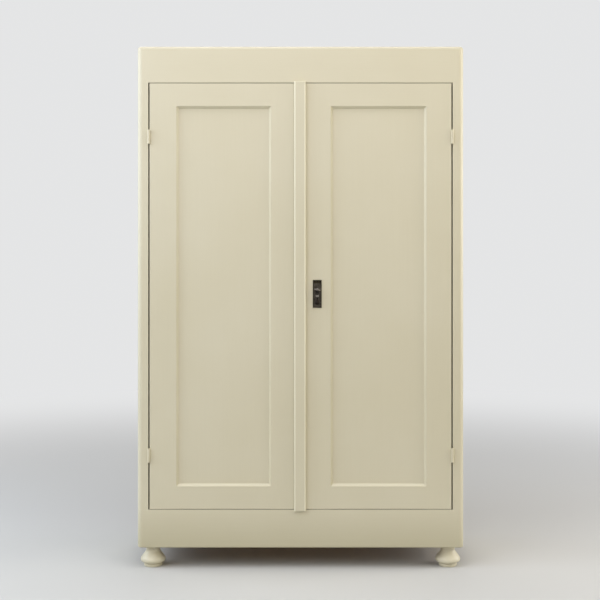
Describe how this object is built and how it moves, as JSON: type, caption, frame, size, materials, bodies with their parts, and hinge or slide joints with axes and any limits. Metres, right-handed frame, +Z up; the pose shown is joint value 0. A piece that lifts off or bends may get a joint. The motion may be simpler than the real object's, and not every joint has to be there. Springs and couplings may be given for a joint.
{
  "type": "linen cupboard",
  "caption": "Painted linen cupboard with rounded outer edges, two tall panelled doors, a proud meeting strip, a lock with a key, shelves and turned bun feet.",
  "frame": {"origin": "middle of the footprint over all, at the floor; the footprint includes the key and the knuckles, which stand out at the front", "axes": "+Z up, +X to the right seen from the front, +Y towards the back; the doors face -Y"},
  "size_m": [1.19, 0.4864, 1.904],
  "materials": {
    "cream_paint": "cream eggshell paint on wood",
    "painted_hinge": "cream paint over iron",
    "bare_pine": "planed, unpainted",
    "dark_bronze": "dark patina",
    "worn_steel": "dull, slightly worn"
  },
  "bodies": {
    "carcass": {"left_side_panel": "cream_paint", "right_side_panel": "cream_paint", "left_front_stile": "cream_paint", "right_front_stile": "cream_paint", "top_rail": "cream_paint", "plinth_rail": "cream_paint", "top_board": "cream_paint", "floor_board": "bare_pine", "door_stop": "bare_pine", "left_foot_bearer": "bare_pine", "right_foot_bearer": "bare_pine", "back_board_1": "bare_pine", "back_board_2": "bare_pine", "back_board_3": "bare_pine", "back_board_4": "bare_pine", "back_board_5": "bare_pine", "shelf_1": "bare_pine", "shelf_2": "bare_pine", "shelf_3": "bare_pine", "left_shelf_cleat_1": "bare_pine", "left_shelf_cleat_2": "bare_pine", "left_shelf_cleat_3": "bare_pine", "right_shelf_cleat_1": "bare_pine", "right_shelf_cleat_2": "bare_pine", "right_shelf_cleat_3": "bare_pine", "front_left_foot": "cream_paint", "front_right_foot": "cream_paint", "rear_left_foot": "cream_paint", "rear_right_foot": "cream_paint", "left_upper_frame_hinge": "painted_hinge", "left_lower_frame_hinge": "painted_hinge", "right_upper_frame_hinge": "painted_hinge", "right_lower_frame_hinge": "painted_hinge"},
    "left_door": {"left_door_hinge_stile": "cream_paint", "left_door_meeting_stile": "cream_paint", "left_door_top_rail": "cream_paint", "left_door_bottom_rail": "cream_paint", "left_door_panel": "cream_paint", "left_upper_door_hinge": "painted_hinge", "left_lower_door_hinge": "painted_hinge", "upper_bolt_plate": "worn_steel", "lower_bolt_plate": "worn_steel", "lock_keeper": "worn_steel"},
    "right_door": {"right_door_hinge_stile": "cream_paint", "right_door_meeting_stile": "cream_paint", "right_door_top_rail": "cream_paint", "right_door_bottom_rail": "cream_paint", "right_door_panel": "cream_paint", "right_upper_door_hinge": "painted_hinge", "right_lower_door_hinge": "painted_hinge", "meeting_strip": "cream_paint", "lock_plate": "dark_bronze", "lock_case": "worn_steel", "pull_post": "dark_bronze"},
    "upper_bolt": {"upper_bolt": "worn_steel"},
    "lower_bolt": {"lower_bolt": "worn_steel"},
    "lock_bolt": {"lock_bolt": "worn_steel"},
    "key": {"key": "worn_steel"},
    "drop_pull": {"drop_pull": "dark_bronze"}
  },
  "joints": [
    {"name": "left_door_swing", "type": "hinge", "parent": "carcass", "child": "left_door", "pos_m": [-0.55225, -0.21185, 0.994], "axis": [0, 0, -1], "range_deg": [0, 175]},
    {"name": "right_door_swing", "type": "hinge", "parent": "carcass", "child": "right_door", "pos_m": [0.55225, -0.21185, 0.994], "axis": [0, 0, 1], "range_deg": [0, 175]},
    {"name": "upper_bolt_slide", "type": "slide", "parent": "left_door", "child": "upper_bolt", "axis": [0, 0, 1], "range_m": [0, 0.014]},
    {"name": "lower_bolt_slide", "type": "slide", "parent": "left_door", "child": "lower_bolt", "axis": [0, 0, -1], "range_m": [0, 0.014]},
    {"name": "key_turn", "type": "hinge", "parent": "right_door", "child": "key", "pos_m": [0.061, -0.20675, 1.018], "axis": [0, -1, 0], "range_deg": [-79.5, 280.5]},
    {"name": "lock_bolt_slide", "type": "slide", "parent": "right_door", "child": "lock_bolt", "axis": [-1, 0, 0], "range_m": [-0.0031, 0.011]},
    {"name": "drop_pull_swing", "type": "hinge", "parent": "right_door", "child": "drop_pull", "pos_m": [0.061, -0.21595, 0.994], "axis": [-1, 0, 0], "range_deg": [0, 80]}
  ],
  "couplings": [
    {"joint": "lock_bolt_slide", "follows": "key_turn", "m_per_rad": 0.0022282}
  ]
}
